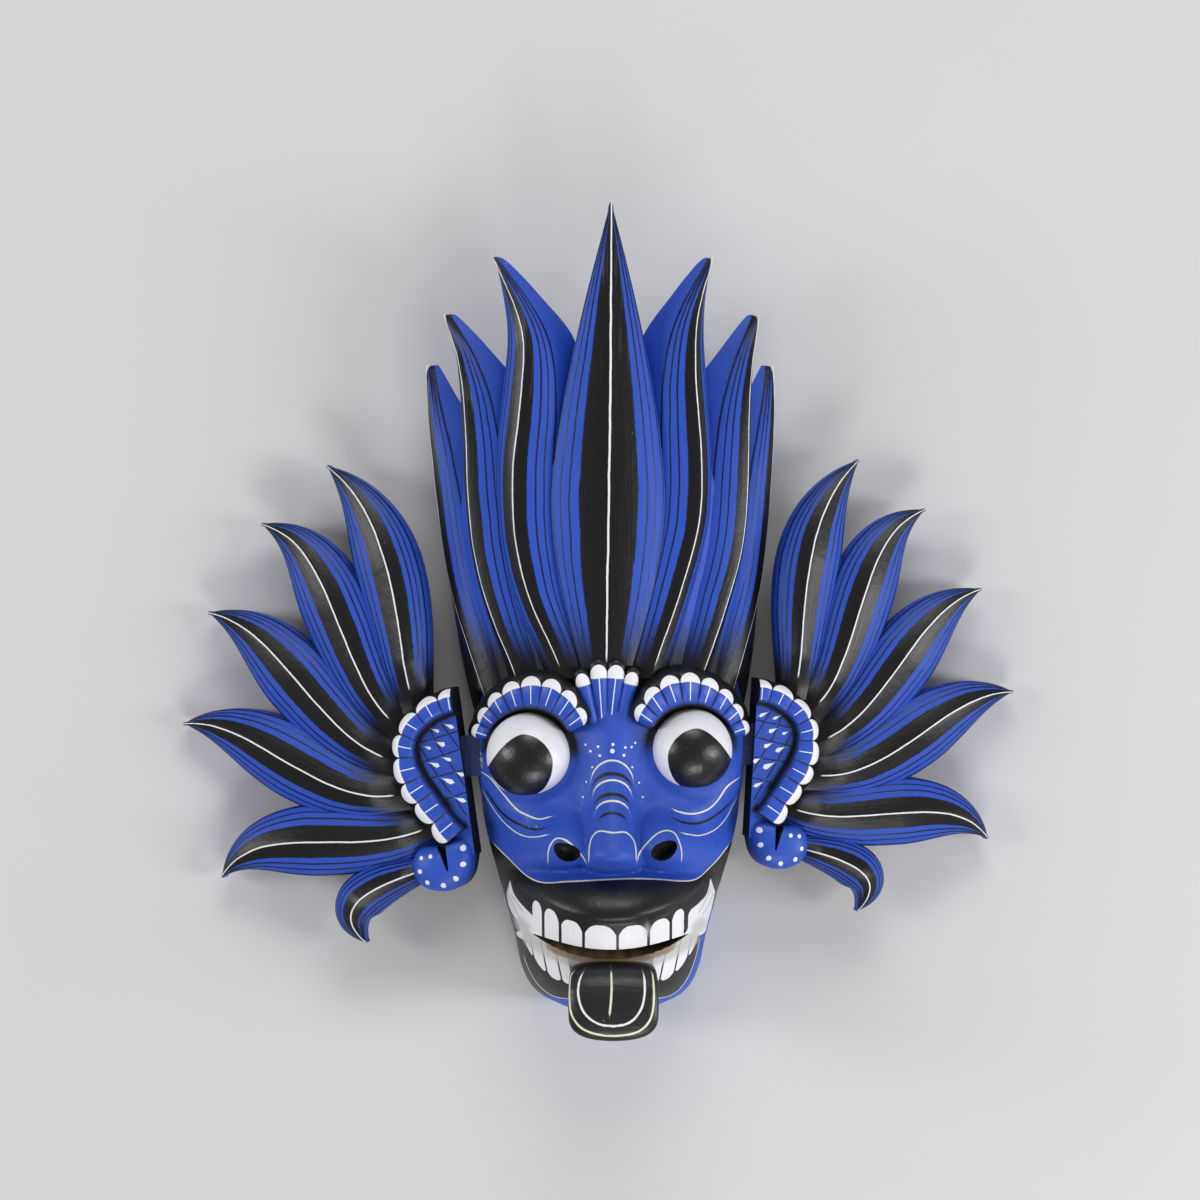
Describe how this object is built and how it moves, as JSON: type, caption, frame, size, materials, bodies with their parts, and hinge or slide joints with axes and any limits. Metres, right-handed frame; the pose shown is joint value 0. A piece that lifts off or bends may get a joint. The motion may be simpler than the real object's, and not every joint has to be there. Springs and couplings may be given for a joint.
{
  "type": "raksha mask",
  "caption": "Carved and painted wooden demon wall mask with a crown of flames, bulging eyes, hanging tongue and flame-edged ear wings tenoned into its cheeks; hollow behind.",
  "frame": {"origin": "Middle of the footprint on the back plane the mask lies on.", "axes": "+X to the viewer's right, +Y up the face to the tip of the crown, +Z out of the face."},
  "size_m": [0.3122, 0.3008, 0.0701],
  "materials": {
    "head_paint": "satin paint in blue, black and white on light carved wood",
    "left_wing_paint": "satin paint in blue, black and white on light carved wood",
    "right_wing_paint": "satin paint in blue, black and white on light carved wood"
  },
  "bodies": {
    "root": {"mask_head": "head_paint", "ear_wing_left": "left_wing_paint", "ear_wing_right": "right_wing_paint"}
  },
  "joints": []
}
